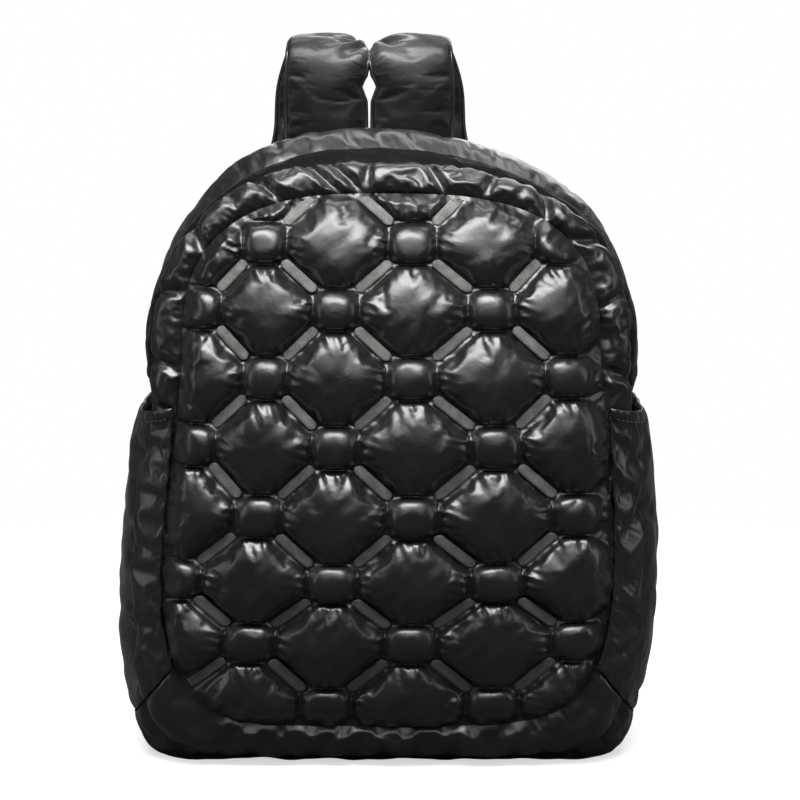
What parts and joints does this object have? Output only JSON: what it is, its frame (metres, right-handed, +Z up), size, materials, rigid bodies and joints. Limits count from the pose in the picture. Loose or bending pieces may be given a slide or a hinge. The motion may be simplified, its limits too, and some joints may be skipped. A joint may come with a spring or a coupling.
{
  "type": "backpack",
  "caption": "Quilted black puffer backpack with a zip over its arched top, open side pockets and padded shoulder straps",
  "frame": {"origin": "on the ground below the middle of the bag's outer size", "axes": "+Z up, the quilted front faces -Y, +X to the viewer's right of the front"},
  "size_m": [0.3278, 0.194, 0.4426],
  "materials": {
    "nylon": "coated black nylon with a soft sheen",
    "tape": "woven black tape",
    "plastic": "moulded black plastic"
  },
  "bodies": {
    "root": {"front_panel": "nylon", "front_border": "nylon", "base_panel": "nylon", "back_panel": "nylon", "gusset_front": "nylon", "gusset_back": "nylon", "zip_tape": "tape", "zip_slider": "plastic", "side_panel_right": "nylon", "side_panel_left": "nylon", "side_pocket_right": "nylon", "side_pocket_left": "nylon", "shoulder_strap_right": "nylon", "shoulder_strap_left": "nylon", "strap_adjuster_right": "plastic", "strap_adjuster_left": "plastic", "strap_webbing_right": "tape", "strap_webbing_left": "tape"}
  },
  "joints": []
}
